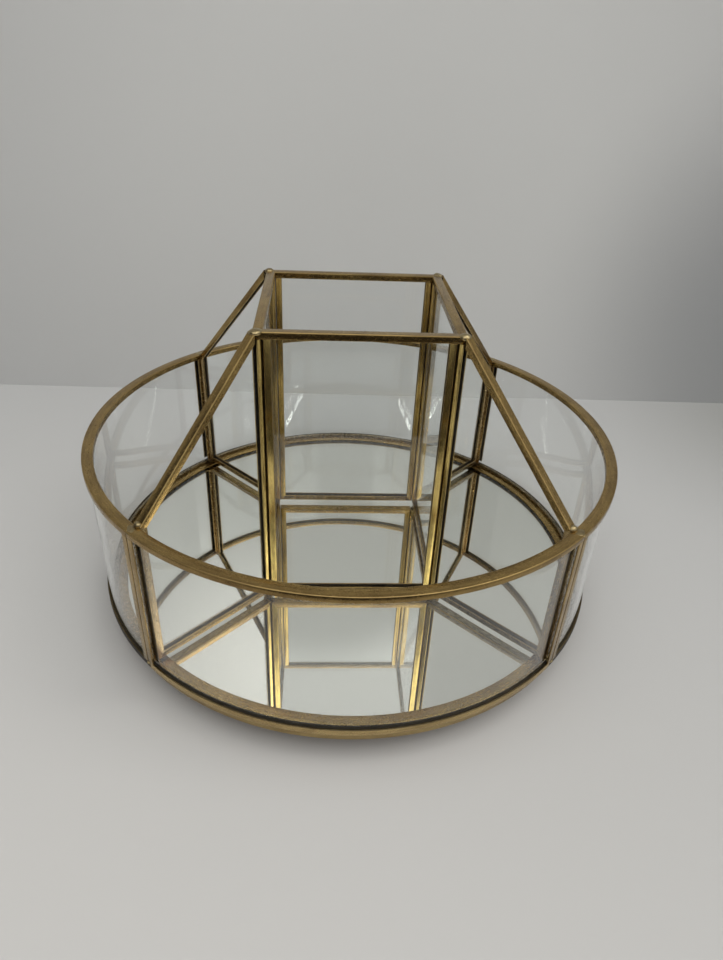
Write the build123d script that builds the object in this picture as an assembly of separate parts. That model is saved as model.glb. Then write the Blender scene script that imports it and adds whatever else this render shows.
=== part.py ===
from build123d import *
import os
from math import cos, degrees, hypot, radians, sin, sqrt

# Round jewelry organizer: a glass and brass drum that turns on a low ball-bearing base.
# Four curved glass walls and four glass partitions stand round a square glass tower, on a mirror
# floor. Every glass edge sits in a folded brass channel, and the channels are soldered together.
# Millimetres, +Z up. The origin is on the table, under the middle of the drum. The front faces -Y.

# ---- glass and brass sheet
glass_thickness = 2.0
sheet = 0.6                    # brass that the channels are folded from
solder_gap = 0.1               # between neighbouring brass pieces, filled with solder
glass_gap = 0.1                # glass edge to the floor of its channel

# ---- curved walls
rim_radius = 135.0             # outside of the top channel
wall_taper = 0.6               # how much smaller the radius is at the foot of the walls
wall_play = 1.1                # glass to each side of its channel
rim_depth = 3.0
sill_height = 4.2
sill_lip = 1.5                 # lips of the bottom channel, turned over towards the glass
wall_height = 79.3             # bottom of the bottom channel to the top of the top channel
end_depth = 3.4                # upright channels, measured round the wall
end_seam = 0.4                 # between the uprights of neighbouring walls

# ---- tower and partitions
tower_size = 92.2              # outside of the square
frame_play = 0.7               # glass to each side of its channel
frame_depth = 3.2
frame_height = 142.8
frame_lift = 2.0               # bottom of the frames above the mirror

# ---- floor of the drum
edge_sheet = 0.8               # brass of the channel round the board
edge_inset = 2.6               # that channel inside the walls' outside
edge_seam = 0.4                # open seam under the walls
board_thickness = 3.2
board_gap = 0.3                # board to the back of its edge channel
silver_thickness = 0.2         # silver and paint on the back of the mirror
mirror_thickness = 3.0
mirror_gap = 0.3               # mirror to the walls and to the edge channel
mirror_ring_width = 4.7        # flat brass ring over the edge of the mirror

# ---- bearing
race_radius = 80.0             # circle of the balls
race_width = 20.0
race_thickness = 1.2
groove_depth = 0.45
ball_diameter = 6.0
ball_gap = 0.15                # ball to groove and to cage
ball_count = 24
cage_thickness = 0.8
cage_width = 9.0

# ---- race screws
screw_count = 4
screw_inset = 3.5              # screw circle to the inner edge of the race
screw_diameter = 2.4
screw_length = 2.4             # beyond the race
screw_head_diameter = 4.4
screw_head_height = 0.7
screw_slot = 0.6
screw_gap = 0.05

# ---- base and feet
base_margin = 10.0             # base beyond the race
base_thickness = 3.0
base_edge_round = 0.8
foot_count = 4
foot_first_angle = 45.0
foot_diameter = 16.0
foot_height = 2.0
foot_inset = 14.0              # middle of a foot to the edge of the base
foot_round = 0.5

# ---- centre bolt
bolt_diameter = 4.0
bolt_gap = 0.05
bolt_head_diameter = 8.0
bolt_head_height = 1.4
bolt_head_recess = 0.3         # head above the underside of the base
bolt_head_gap = 0.1
bolt_slot = 1.0
bush_wall = 1.5
bush_base_gap = 0.3
washer_diameter = 9.0
washer_thickness = 0.5
washer_gap = 0.15              # washer above the floor of its pocket
nut_width = 7.0                # across the flats
nut_height = 1.2
nut_pocket_diameter = 13.0
nut_pocket_depth = 2.4

# ---- heights, stacked up from the table
base_bottom = foot_height
base_top = base_bottom + base_thickness
lower_race_top = base_top + race_thickness
race_gap = ball_diameter + 2 * ball_gap - 2 * groove_depth
ball_level = lower_race_top + race_gap / 2
upper_race_bottom = lower_race_top + race_gap
board_bottom = upper_race_bottom + race_thickness
board_top = board_bottom + board_thickness
edge_bottom = board_bottom - edge_sheet
edge_top = board_top + edge_sheet
mirror_bottom = board_top + silver_thickness
mirror_top = mirror_bottom + mirror_thickness
sill_bottom = edge_top + edge_seam
sill_top = sill_bottom + sill_height
rim_top = sill_bottom + wall_height
rim_bottom = rim_top - rim_depth
frame_bottom = mirror_top + frame_lift
tower_top = frame_bottom + frame_height
strip_bottom = tower_top - frame_depth

# ---- radii and widths
wall_width = glass_thickness + 2 * (wall_play + sheet)
frame_width = glass_thickness + 2 * (frame_play + sheet)
rim_middle = rim_radius - wall_width / 2
sill_middle = rim_middle - wall_taper
sill_inner = sill_middle - wall_width / 2
sill_outer = sill_middle + wall_width / 2
mirror_radius = sill_inner - mirror_gap
edge_outer = sill_outer - edge_inset
edge_inner = mirror_radius + mirror_gap
board_radius = edge_outer - edge_sheet - board_gap
race_inner = race_radius - race_width / 2
race_outer = race_radius + race_width / 2
base_radius = race_outer + base_margin
screw_circle = race_inner + screw_inset
bush_bore = bolt_diameter / 2 + bolt_gap
bush_outer = bush_bore + bush_wall
nut_pocket_floor = board_top - nut_pocket_depth
washer_bottom = nut_pocket_floor + washer_gap
nut_bottom = washer_bottom + washer_thickness
tower_half = tower_size / 2
tower_panel_half = tower_half - frame_width    # leaves a square at each corner for a partition
tower_corner = tower_half * sqrt(2) + solder_gap
partition_start = tower_panel_half * sqrt(2) + frame_width / 2 + solder_gap

# directions from the middle of the drum, in degrees from +X
quarter_turn = 90.0
half_quarter = quarter_turn / 2
sides = {"front": 3 * quarter_turn, "right": 0.0, "back": quarter_turn, "left": 2 * quarter_turn}
meeting_sides = {
    "front_right": ("front", "right"), "back_right": ("right", "back"),
    "back_left": ("back", "left"), "front_left": ("left", "front"),
}
corners = {name: sides[first] + half_quarter for name, (first, second) in meeting_sides.items()}


def save(node, *shapes):
    """Write one node as a STEP file that holds its separate solids."""
    solids = [solid for shape in shapes for solid in shape.solids()]
    export_step(solids[0] if len(solids) == 1 else Compound(children=solids), f"parts/{node}.step")


def on_circle(radius, count, first_angle=0.0):
    """Points spaced evenly round the axis."""
    angles = [radians(first_angle + 360 * k / count) for k in range(count)]
    return [(radius * cos(angle), radius * sin(angle)) for angle in angles]


def plate(radius, bottom, top, hole=0.0):
    """Flat round plate, with an optional hole in the middle."""
    solid = extrude(Plane.XY.offset(bottom) * Circle(radius), top - bottom)
    if hole:
        solid -= extrude(Plane.XY.offset(bottom) * Circle(hole), top - bottom)
    return solid


def turned_section(points, first_angle, sweep):
    """Section of (radius, height) points, swept round the axis from an angle."""
    section = Plane.XZ * make_face(Polyline(*points, close=True))
    return Rot(0, 0, first_angle) * revolve(section, Axis.Z, sweep)


def upright_slab(points, near, far):
    """Outline of (across, height) points, made solid from one depth along Y to another."""
    outline = Plane.XZ.offset(-near) * make_face(Polyline(*points, close=True))
    return extrude(outline, far - near, dir=(0, 1, 0))


def flat_slab(points, bottom, top):
    """Outline in plan, made solid between two heights."""
    return extrude(Plane.XY.offset(bottom) * make_face(Polyline(*points, close=True)), top - bottom)


def inset(points, distances):
    """Corners of a convex anticlockwise outline after each of its edges moves inwards."""
    lines = []
    for (x0, z0), (x1, z1), distance in zip(points, points[1:] + points[:1], distances):
        length = hypot(x1 - x0, z1 - z0)
        across, up = (z0 - z1) / length, (x1 - x0) / length
        lines.append((across, up, across * x0 + up * z0 + distance))
    moved = []
    for (a, b, p), (c, d, q) in zip(lines[-1:] + lines[:-1], lines):
        spread = a * d - b * c
        moved.append(((p * d - q * b) / spread, (q * a - p * c) / spread))
    return moved


def edge_channel(points, edge, framed):
    """Folded channel on one edge of a flat pane, mitred where the next edges are framed too."""
    following = (edge + 1) % len(points)
    half = frame_width / 2

    def strip(depth, near, far):
        moved = inset(points, [depth if has_channel else 0 for has_channel in framed])
        return upright_slab([points[edge], points[following], moved[following], moved[edge]], near, far)

    web = strip(sheet, -half, half)
    return web + strip(frame_depth, -half, sheet - half) + strip(frame_depth, half - sheet, half)


def arc_degrees(length, radius):
    """Angle that a length takes up on a circle."""
    return degrees(length / radius)


# ---------------------------------------------------------------- curved walls
def wall_middle(height):
    """Radius of the middle of the glass, which leans in towards the foot."""
    return sill_middle + wall_taper * (height - sill_top) / (rim_bottom - sill_top)


def wall_arc(points, middle_angle, radius):
    """Section swept along a wall, from one post seam to the next."""
    seam = arc_degrees(end_seam / 2, radius)
    return turned_section(points, middle_angle - half_quarter + seam, quarter_turn - 2 * seam)


def wall_rim(middle_angle):
    """Top channel of a wall, open downwards."""
    low, high = rim_middle - wall_width / 2, rim_middle + wall_width / 2
    inside = rim_top - sheet
    points = [
        (low, rim_top), (high, rim_top), (high, rim_bottom), (high - sheet, rim_bottom),
        (high - sheet, inside), (low + sheet, inside), (low + sheet, rim_bottom), (low, rim_bottom),
    ]
    return wall_arc(points, middle_angle, rim_middle)


def wall_sill(middle_angle):
    """Bottom channel of a wall, open upwards, with both lips turned over towards the glass."""
    under, inside = sill_top - sheet, sill_bottom + sheet
    points = [
        (sill_inner, sill_bottom), (sill_outer, sill_bottom), (sill_outer, sill_top),
        (sill_outer - sill_lip, sill_top), (sill_outer - sill_lip, under), (sill_outer - sheet, under),
        (sill_outer - sheet, inside), (sill_inner + sheet, inside), (sill_inner + sheet, under),
        (sill_inner + sill_lip, under), (sill_inner + sill_lip, sill_top), (sill_inner, sill_top),
    ]
    return wall_arc(points, middle_angle, sill_middle)


def wall_glass(middle_angle):
    """Curved pane, with its edges inside the channels."""
    low, high = sill_bottom + sheet + glass_gap, rim_top - sheet - glass_gap
    half = glass_thickness / 2
    points = [
        (wall_middle(low) - half, low), (wall_middle(low) + half, low),
        (wall_middle(high) + half, high), (wall_middle(high) - half, high),
    ]
    margin = arc_degrees(end_seam / 2 + sheet + glass_gap, sill_middle)
    return turned_section(points, middle_angle - half_quarter + margin, quarter_turn - 2 * margin)


def wall_upright(corner_angle, side):
    """End channel of a wall, after the corner seam (side 1) or before it (side -1)."""
    low, high = sill_top + solder_gap, rim_bottom - solder_gap
    half = wall_width / 2

    def strip(inner, outer, depth):
        points = [
            (wall_middle(low) + inner, low), (wall_middle(low) + outer, low),
            (wall_middle(high) + outer, high), (wall_middle(high) + inner, high),
        ]
        start, sweep = arc_degrees(end_seam / 2, sill_middle), arc_degrees(depth, sill_middle)
        return turned_section(points, corner_angle + (start if side > 0 else -start - sweep), sweep)

    return strip(-half, half, sheet) + strip(-half, sheet - half, end_depth) + strip(
        half - sheet, half, end_depth)


# ---------------------------------------------------------------- tower
def tower_place(name):
    """Moves a panel from the XZ plane to its side of the tower."""
    return Rot(0, 0, sides[name] + quarter_turn) * Pos(0, frame_width / 2 - tower_half, 0)


def tower_outline(top):
    """Side of the tower between the corner squares."""
    return [
        (-tower_panel_half, frame_bottom), (tower_panel_half, frame_bottom),
        (tower_panel_half, top), (-tower_panel_half, top),
    ]


def tower_glass(name):
    """Flat pane that runs up into the top strip."""
    margin = sheet + glass_gap
    points = inset(tower_outline(tower_top), [margin] * 4)
    return tower_place(name) * upright_slab(points, -glass_thickness / 2, glass_thickness / 2)


def tower_edge(name, edge):
    """Foot strip (edge 0) or an upright (edges 1 and 3) of one side."""
    outline = tower_outline(strip_bottom - solder_gap)
    return tower_place(name) * edge_channel(outline, edge, [True, True, False, True])


def tower_top_strip(name):
    """Top channel, mitred in plan with its neighbours."""

    def band(outer, inner, bottom):
        far_outer, far_inner = outer - solder_gap / 2, inner - solder_gap / 2
        points = [(-far_outer, -outer), (far_outer, -outer), (far_inner, -inner), (-far_inner, -inner)]
        return flat_slab(points, bottom, tower_top)

    strip = band(tower_half, tower_half - frame_width, tower_top - sheet)
    strip += band(tower_half, tower_half - sheet, strip_bottom)
    strip += band(tower_half - frame_width + sheet, tower_half - frame_width, strip_bottom)
    return Rot(0, 0, sides[name] + quarter_turn) * strip


# ---------------------------------------------------------------- partitions
def partition_reach(height):
    """Outer edge of a partition, just inside the wall's channels."""
    return wall_middle(height) - wall_width / 2 - solder_gap


def partition_outline(start, inner_top):
    """Partition in its radial plane, from a start radius to the wall."""
    return [
        (start, frame_bottom), (partition_reach(frame_bottom), frame_bottom),
        (partition_reach(rim_bottom), rim_top), (start, inner_top),
    ]


def partition_glass(name):
    """Flat pane under the sloped bar, stepped down under the tower's top strips."""
    margin = sheet + glass_gap
    outline = partition_outline(tower_corner, tower_top)
    low, far_low, far_high, high = inset(outline, [margin, margin, margin, solder_gap])
    start = partition_start + margin
    step = strip_bottom - solder_gap
    points = [(start, low[1]), far_low, far_high, high, (high[0], step), (start, step)]
    return Rot(0, 0, corners[name]) * upright_slab(points, -glass_thickness / 2, glass_thickness / 2)


def partition_bar(name):
    """Sloped top channel, from the tower's top corner down to the rim."""
    outline = partition_outline(tower_corner, tower_top)
    return Rot(0, 0, corners[name]) * edge_channel(outline, 2, [True, True, True, False])


def partition_foot(name):
    """Bottom channel, mitred into both uprights."""
    outline = partition_outline(partition_start, tower_top)
    return Rot(0, 0, corners[name]) * edge_channel(outline, 0, [True] * 4)


def partition_outer_upright(name):
    """Upright channel against the rim post."""
    outline = partition_outline(partition_start, tower_top)
    outline[3] = partition_outline(tower_corner, tower_top)[3]
    return Rot(0, 0, corners[name]) * edge_channel(outline, 1, [True, True, True, False])


def partition_inner_upright(name):
    """Upright channel in the corner of the tower, open towards the wall."""
    top = strip_bottom - solder_gap
    outline = [
        (partition_start, frame_bottom), (tower_corner + frame_depth, frame_bottom),
        (tower_corner + frame_depth, top), (partition_start, top),
    ]
    return Rot(0, 0, corners[name]) * edge_channel(outline, 3, [True, False, False, True])


# ---------------------------------------------------------------- floor of the drum
def edge_ring():
    """Channel that wraps the edge of the board and carries the walls."""
    back = edge_outer - edge_sheet
    points = [
        (edge_inner, edge_bottom), (edge_outer, edge_bottom), (edge_outer, edge_top), (edge_inner, edge_top),
        (edge_inner, board_top), (back, board_top), (back, board_bottom), (edge_inner, board_bottom),
    ]
    return turned_section(points, 0, 360)


def backing_board():
    """Board under the mirror, with room for the bolt's nut and holes for the upper race's screws."""
    board = plate(board_radius, board_bottom, board_top, bush_outer + bolt_gap)
    board -= plate(nut_pocket_diameter / 2, nut_pocket_floor, board_top)
    return board - screw_shank_holes(board_bottom, board_bottom + screw_length)


# ---------------------------------------------------------------- bearing
def screw_shank_holes(low, high):
    """Cutters for the screws' shanks."""
    radius = screw_diameter / 2 + screw_gap
    hole = extrude(Plane.XY.offset(low) * Circle(radius), high - low)
    return [Pos(x, y, 0) * hole for x, y in on_circle(screw_circle, screw_count)]


def race_ring(bottom, head_bottom):
    """Flat steel ring with a ball groove, shank holes and seats for the screw heads."""
    ring = plate(race_outer, bottom, bottom + race_thickness, race_inner)
    ring -= Pos(0, 0, ball_level) * Torus(race_radius, ball_diameter / 2 + ball_gap)
    seat_radius = screw_head_diameter / 2 + screw_gap
    seat = extrude(Plane.XY.offset(head_bottom) * Circle(seat_radius), screw_head_height)
    ring -= [Pos(x, y, 0) * seat for x, y in on_circle(screw_circle, screw_count)]
    return ring - screw_shank_holes(bottom, bottom + race_thickness)


def race_screws(head_face, direction):
    """Screws whose heads lie flush with the race; the shanks run up (1) or down (-1)."""
    pieces = []
    for x, y in on_circle(screw_circle, screw_count):
        head = extrude(Circle(screw_head_diameter / 2), screw_head_height)
        reach = screw_length + race_thickness
        shank = extrude(Circle(screw_diameter / 2), reach - screw_gap)
        slot = Box(screw_head_diameter, screw_slot, screw_head_height)
        screw = head + shank - slot
        if direction < 0:
            screw = Rot(180, 0, 0) * screw
        pieces.append(Pos(x, y, head_face) * screw)
    return pieces


def ball_cage():
    """Thin ring that keeps the balls apart."""
    low = ball_level - cage_thickness / 2
    cage = plate(race_radius + cage_width / 2, low, low + cage_thickness, race_radius - cage_width / 2)
    pocket = extrude(Plane.XY.offset(low) * Circle(ball_diameter / 2 + ball_gap), cage_thickness)
    return cage - [Pos(x, y, 0) * pocket for x, y in on_circle(race_radius, ball_count)]


def bearing_balls():
    """Loose balls in the cage."""
    return [Pos(x, y, ball_level) * Sphere(ball_diameter / 2)
            for x, y in on_circle(race_radius, ball_count)]


# ---------------------------------------------------------------- centre bolt, base and feet
def bolt():
    """Slotted bolt up through the base, the bush and the nut."""
    head_bottom = base_bottom + bolt_head_recess
    head_top = head_bottom + bolt_head_height
    slot = Pos(0, 0, head_bottom) * Box(bolt_head_diameter, bolt_slot, bolt_head_height)
    return plate(bolt_head_diameter / 2, head_bottom, head_top) + plate(
        bolt_diameter / 2, head_top, nut_bottom + nut_height) - slot


def nut():
    """Hexagon nut on the end of the bolt."""
    body = extrude(Plane.XY.offset(nut_bottom) * RegularPolygon(nut_width / 2, 6, major_radius=False),
                   nut_height)
    return body - plate(bush_bore, nut_bottom, nut_bottom + nut_height)


def base_disc():
    """Disc that stands still on the feet, bored and counterbored for the centre bolt."""
    base = plate(base_radius, base_bottom, base_top)
    base = fillet(base.edges(), min(base_edge_round, 0.4 * base_thickness))
    head_top = base_bottom + bolt_head_recess + bolt_head_height
    base -= plate(bush_bore, base_bottom, base_top)
    base -= plate(bolt_head_diameter / 2 + bolt_head_gap, base_bottom, head_top)
    return base - screw_shank_holes(base_top - screw_length, base_top)


def foot(x, y):
    """Rubber pad with a rounded lower edge."""
    pad = extrude(Circle(foot_diameter / 2), foot_height)
    lower = pad.edges().sort_by(Axis.Z)[0]
    return Pos(x, y, 0) * fillet(lower, min(foot_round, 0.4 * foot_height))


# ---------------------------------------------------------------- write every node
os.makedirs("parts", exist_ok=True)

for name, angle in sides.items():
    save(f"wall_glass_{name}", wall_glass(angle))
    save(f"wall_rim_{name}", wall_rim(angle))
    save(f"wall_sill_{name}", wall_sill(angle))
    save(f"tower_glass_{name}", tower_glass(name))
    save(f"tower_top_strip_{name}", tower_top_strip(name))
    save(f"tower_foot_strip_{name}", tower_edge(name, 0))

# the uprights that meet at a corner are soldered side by side into one post
for name, (first, second) in meeting_sides.items():
    angle = corners[name]
    save(f"partition_glass_{name}", partition_glass(name))
    save(f"partition_bar_{name}", partition_bar(name))
    save(f"partition_foot_{name}", partition_foot(name))
    save(f"tower_post_{name}", tower_edge(first, 1), tower_edge(second, 3), partition_inner_upright(name))
    save(f"rim_post_{name}", wall_upright(angle, -1), wall_upright(angle, 1), partition_outer_upright(name))

ring_outer = sill_inner - solder_gap
save("mirror_glass", plate(mirror_radius, mirror_bottom, mirror_top))
save("mirror_ring", plate(ring_outer, mirror_top, mirror_top + sheet, ring_outer - mirror_ring_width))
save("mirror_silver", plate(mirror_radius, board_top, mirror_bottom))
save("backing_board", backing_board())
save("edge_ring", edge_ring())

save("upper_race", race_ring(upper_race_bottom, upper_race_bottom))
save("lower_race", race_ring(base_top, lower_race_top - screw_head_height))
save("upper_race_screws", *race_screws(upper_race_bottom, 1))
save("lower_race_screws", *race_screws(lower_race_top, -1))
save("ball_cage", ball_cage())
save("bearing_balls", *bearing_balls())

save("centre_bolt", bolt())
save("centre_bush", plate(bush_outer, base_top + bush_base_gap, nut_pocket_floor, bush_bore))
save("centre_washer", plate(washer_diameter / 2, washer_bottom, nut_bottom, bush_bore))
save("centre_nut", nut())
save("base_disc", base_disc())
foot_places = on_circle(base_radius - foot_inset, foot_count, foot_first_angle)
save("rubber_feet", *[foot(x, y) for x, y in foot_places])
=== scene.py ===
import math

import bmesh
import bpy
from mathutils import Matrix, Quaternion, Vector
from mathutils.bvhtree import BVHTree


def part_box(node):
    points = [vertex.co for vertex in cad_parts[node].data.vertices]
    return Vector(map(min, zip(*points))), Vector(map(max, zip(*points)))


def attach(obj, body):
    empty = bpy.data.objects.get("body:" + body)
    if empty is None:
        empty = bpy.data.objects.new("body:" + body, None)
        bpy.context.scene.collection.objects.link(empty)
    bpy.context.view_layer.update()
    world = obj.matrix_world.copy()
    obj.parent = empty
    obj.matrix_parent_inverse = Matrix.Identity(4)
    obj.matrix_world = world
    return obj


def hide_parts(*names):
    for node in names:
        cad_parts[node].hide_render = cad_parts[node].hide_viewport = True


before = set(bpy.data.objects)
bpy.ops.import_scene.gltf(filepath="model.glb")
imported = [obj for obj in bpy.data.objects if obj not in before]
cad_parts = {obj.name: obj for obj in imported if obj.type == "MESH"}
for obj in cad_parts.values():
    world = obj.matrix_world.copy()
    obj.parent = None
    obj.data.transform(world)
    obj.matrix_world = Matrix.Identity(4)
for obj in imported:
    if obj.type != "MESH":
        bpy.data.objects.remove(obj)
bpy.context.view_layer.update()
print("frame:", len(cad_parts), "nodes")

sideNames = ("front", "right", "back", "left")
cornerNames = ("front_right", "back_right", "back_left", "front_left")
mm = 0.001
aligned = 0.9               # two unit vectors whose product is above this count as parallel


# camera, at the same place as the eye that looks down into the drum
cameraLook = {
    "place": (-0.01641, -0.33141, 0.27176),
    "turn": 3.901,          # degrees to the right of +Y
    "tilt": 32.233,         # degrees below level
    "roll": 2.781,
    "lens": 26.594,
    "sensor": 36,
    "near": 0.01,
}


def makeCamera(look):
    turn, tilt, roll = (math.radians(look[key]) for key in ("turn", "tilt", "roll"))
    ahead = Vector((math.sin(turn) * math.cos(tilt), math.cos(turn) * math.cos(tilt), -math.sin(tilt)))
    level = Vector((math.cos(turn), -math.sin(turn), 0))
    above = level.cross(ahead)
    right = math.cos(roll) * level + math.sin(roll) * above
    up = -math.sin(roll) * level + math.cos(roll) * above
    camera = bpy.data.objects.new("camera", bpy.data.cameras.new("camera"))
    camera.data.lens = look["lens"]
    camera.data.sensor_width = look["sensor"]
    camera.data.clip_start = look["near"]
    camera.matrix_world = Matrix((right, up, -ahead)).transposed().to_4x4()
    camera.location = look["place"]
    bpy.context.scene.collection.objects.link(camera)
    bpy.context.scene.camera = camera


makeCamera(cameraLook)


# small helpers for node trees
def fill(tree, sockets, values):
    # links each socket to the output given for it, or sets it to the constant given
    for socket, value in zip(sockets, values):
        if isinstance(value, bpy.types.NodeSocket):
            tree.links.new(value, socket)
        else:
            socket.default_value = value


def addNode(tree, kind, settings=None, **inputs):
    node = tree.nodes.new(kind)
    for name, value in (settings or {}).items():
        setattr(node, name, value)
    fill(tree, [node.inputs[name.replace("_", " ")] for name in inputs], inputs.values())
    return node


def calc(tree, operation, first, second=0.0):
    node = addNode(tree, "ShaderNodeMath", {"operation": operation})
    fill(tree, node.inputs, (first, second))
    return node.outputs[0]


def vectorCalc(tree, operation, first, second):
    node = addNode(tree, "ShaderNodeVectorMath", {"operation": operation})
    fill(tree, node.inputs, (first, second))
    return node.outputs["Value" if operation in ("DISTANCE", "DOT_PRODUCT") else "Vector"]


def startMaterial(name):
    material = bpy.data.materials.new(name)
    material.use_nodes = True
    material.node_tree.nodes.clear()
    return material, material.node_tree


def startGroup(name, kind, inputs, outputs):
    tree = bpy.data.node_groups.new(name, kind)
    for label, socketType, value in inputs:
        socket = tree.interface.new_socket(label, in_out="INPUT", socket_type=socketType)
        if value is not None:
            socket.default_value = value
    for label, socketType in outputs:
        tree.interface.new_socket(label, in_out="OUTPUT", socket_type=socketType)
    return tree, tree.nodes.new("NodeGroupInput"), tree.nodes.new("NodeGroupOutput")


def mixColor(tree, factor, low, high):
    node = addNode(tree, "ShaderNodeMix", {"data_type": "RGBA"})
    fill(tree, (node.inputs[0], node.inputs[6], node.inputs[7]), (factor, low, high))
    return node.outputs[2]


def mixShaders(tree, factor, low, high):
    node = addNode(tree, "ShaderNodeMixShader")
    fill(tree, node.inputs, (factor, low, high))
    return node.outputs[0]


def mapRange(tree, value, low, high, toLow=0.0, toHigh=1.0):
    node = addNode(tree, "ShaderNodeMapRange", {"interpolation_type": "SMOOTHSTEP"}, Value=value)
    for name, number in (("From Min", low), ("From Max", high), ("To Min", toLow), ("To Max", toHigh)):
        node.inputs[name].default_value = number
    return node.outputs["Result"]


# aged brass: gold where it is rubbed, brown film, near-black spots and fine marks along the strip, and painted
# shade that turns upright sides towards the film colour;
# a noise is a stretch along and across the strip, a detail and a roughness; a range is mapped to the next two
patinaLook = {
    "cloud": ((45, 110, 110), 5.0, 0.62), "cloudToFilm": (0.32, 0.70, -0.22, 0.28),
    "streak": ((35, 1500, 1500), 3.0, 0.6), "streakToFilm": (0.3, 0.7, -0.14, 0.14), "streakHeight": 0.7,
    "grain": ((420, 900, 900), 3.0, 0.6), "grainToFilm": (0.35, 0.75, 0.0, 0.08),
    "grainToRough": (0.3, 0.7, 0.0, 0.08),
    "blotch": ((95, 160, 160), 4.0, 0.7), "blotchToSpot": (0.62, 0.76), "spotRough": 0.3,
    "steepToShade": (0.2, 0.75, 1.0, 0.0),
}


def makePatinaGroup(look):
    tree, given, made = startGroup(
        "patina", "ShaderNodeTree",
        [("Along", "NodeSocketVector", None), ("Normal", "NodeSocketVector", None),
         ("Metal", "NodeSocketColor", (0.50, 0.33, 0.115, 1)),
         ("Film", "NodeSocketColor", (0.15, 0.085, 0.032, 1)),
         ("Spot", "NodeSocketColor", (0.03, 0.018, 0.010, 1)), ("Film amount", "NodeSocketFloat", 0.3),
         ("Side shade", "NodeSocketFloat", 0.6), ("Spot amount", "NodeSocketFloat", 0.4),
         ("Roughness", "NodeSocketFloat", 0.28)],
        [("Color", "NodeSocketColor"), ("Roughness", "NodeSocketFloat"), ("Height", "NodeSocketFloat")])
    along = given.outputs["Along"]

    def noiseAt(stretch, detail, roughness):
        place = vectorCalc(tree, "MULTIPLY", along, stretch)
        return addNode(tree, "ShaderNodeTexNoise", Vector=place, Scale=1.0, Detail=detail,
                       Roughness=roughness).outputs["Fac"]

    def total(first, *parts):
        for part in parts:
            first = calc(tree, "ADD", first, part)
        return first

    cloud, streak, grain, blotch = (noiseAt(*look[key]) for key in ("cloud", "streak", "grain", "blotch"))
    split = addNode(tree, "ShaderNodeSeparateXYZ", Vector=given.outputs["Normal"])
    steep = calc(tree, "ABSOLUTE", split.outputs["Z"])
    # painted shade: upright faces take more of the film colour than faces that look up
    side = calc(tree, "MULTIPLY", mapRange(tree, steep, *look["steepToShade"]), given.outputs["Side shade"])
    film = total(given.outputs["Film amount"], mapRange(tree, cloud, *look["cloudToFilm"]),
                 mapRange(tree, streak, *look["streakToFilm"]), side)
    film.node.use_clamp = True
    spotMask = calc(tree, "MULTIPLY", mapRange(tree, blotch, *look["blotchToSpot"]),
                    given.outputs["Spot amount"])
    base = mixColor(tree, film, given.outputs["Metal"], given.outputs["Film"])
    base = mixColor(tree, mapRange(tree, grain, *look["grainToFilm"]), base, given.outputs["Film"])
    base = mixColor(tree, spotMask, base, given.outputs["Spot"])
    rough = total(given.outputs["Roughness"], mapRange(tree, grain, *look["grainToRough"]),
                  calc(tree, "MULTIPLY", spotMask, look["spotRough"]))
    height = calc(tree, "ADD", grain, calc(tree, "MULTIPLY", streak, look["streakHeight"]))
    fill(tree, [made.inputs[label] for label in ("Color", "Roughness", "Height")], (base, rough, height))
    return tree


patinaGroup = makePatinaGroup(patinaLook)
bumpDepth = 0.2 * mm
rippleDepth = 0.5 * mm


def makeBrass(name, look):
    material, tree = startMaterial(name)
    coords = addNode(tree, "ShaderNodeTexCoord")
    along = addNode(tree, "ShaderNodeAttribute", {"attribute_type": "GEOMETRY", "attribute_name": "along"})
    patina = addNode(tree, "ShaderNodeGroup", {"node_tree": patinaGroup}, Along=along.outputs["Vector"],
                     Normal=coords.outputs["Normal"])
    for label, value in look["patina"].items():
        patina.inputs[label].default_value = value
    bump = addNode(tree, "ShaderNodeBump", Strength=look["bump"], Distance=bumpDepth,
                   Height=patina.outputs["Height"])
    shader = addNode(tree, "ShaderNodeBsdfPrincipled", Metallic=look["metallic"],
                     Base_Color=patina.outputs["Color"], Roughness=patina.outputs["Roughness"],
                     Normal=bump.outputs["Normal"])
    addNode(tree, "ShaderNodeOutputMaterial", Surface=shader.outputs["BSDF"])
    return material


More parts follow.
